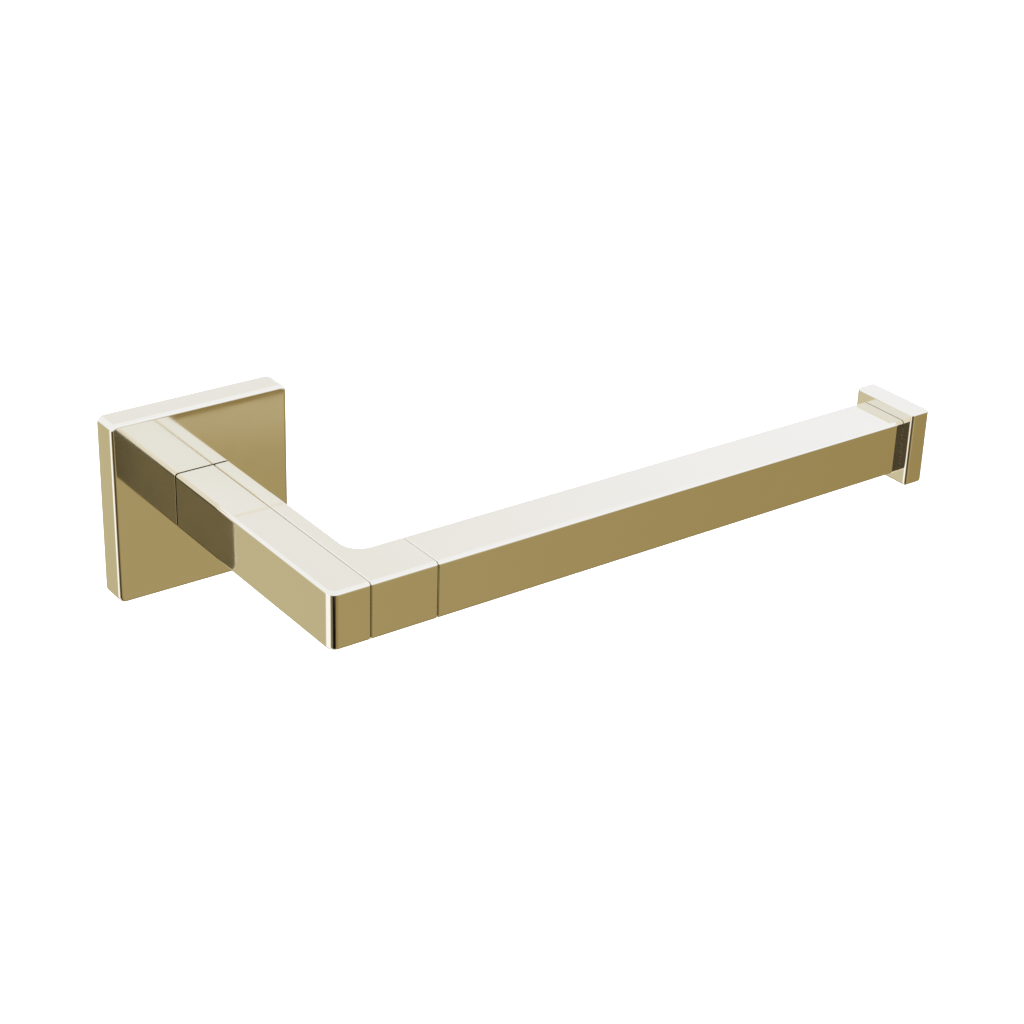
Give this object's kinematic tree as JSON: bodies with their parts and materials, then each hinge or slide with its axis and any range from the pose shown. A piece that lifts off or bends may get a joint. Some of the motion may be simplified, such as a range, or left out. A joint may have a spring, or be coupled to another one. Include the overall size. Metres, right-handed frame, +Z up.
{
  "type": "toilet paper holder",
  "caption": "Wall-mounted open-arm toilet paper holder with a square backplate, a rectangular post and elbow, and a straight bar arm ending in a square cap.",
  "frame": {"origin": "centre of the backplate's back, on the wall plane", "axes": "+X along the arm towards the end cap, +Y into the wall, +Z up"},
  "size_m": [0.2061, 0.1105, 0.05],
  "materials": {
    "plated_body": "mirror polished and plated in a warm pale nickel brass",
    "zinc_steel": "zinc plated, dull",
    "stainless_steel": "ground stainless",
    "black_steel": "black oxide, lightly oiled",
    "plug_nylon": "moulded grey nylon"
  },
  "bodies": {
    "wall_side": {"wall_bracket": "zinc_steel", "wall_screw_upper": "zinc_steel", "wall_screw_lower": "zinc_steel", "wall_plug_upper": "plug_nylon", "wall_plug_lower": "plug_nylon"},
    "holder": {"backplate": "plated_body", "post_screw": "black_steel", "post_washer": "stainless_steel", "leg_screw_upper": "black_steel", "leg_screw_lower": "black_steel", "post_bar": "plated_body", "elbow": "plated_body", "arm_bar": "plated_body", "end_cap": "plated_body", "post_dowel_rear": "stainless_steel", "post_dowel_front": "stainless_steel", "arm_screw": "black_steel", "arm_dowel_upper": "stainless_steel", "arm_dowel_lower": "stainless_steel", "cap_pin_rear": "stainless_steel", "cap_pin_front": "stainless_steel"},
    "set_screw": {"set_screw": "black_steel"}
  },
  "joints": [
    {"name": "holder_pull_off", "type": "slide", "parent": "wall_side", "child": "holder", "axis": [0, -1, 0], "range_m": [0, 0.012]},
    {"name": "set_screw_travel", "type": "slide", "parent": "holder", "child": "set_screw", "axis": [0, 0, -1], "range_m": [0, 0.003]}
  ]
}
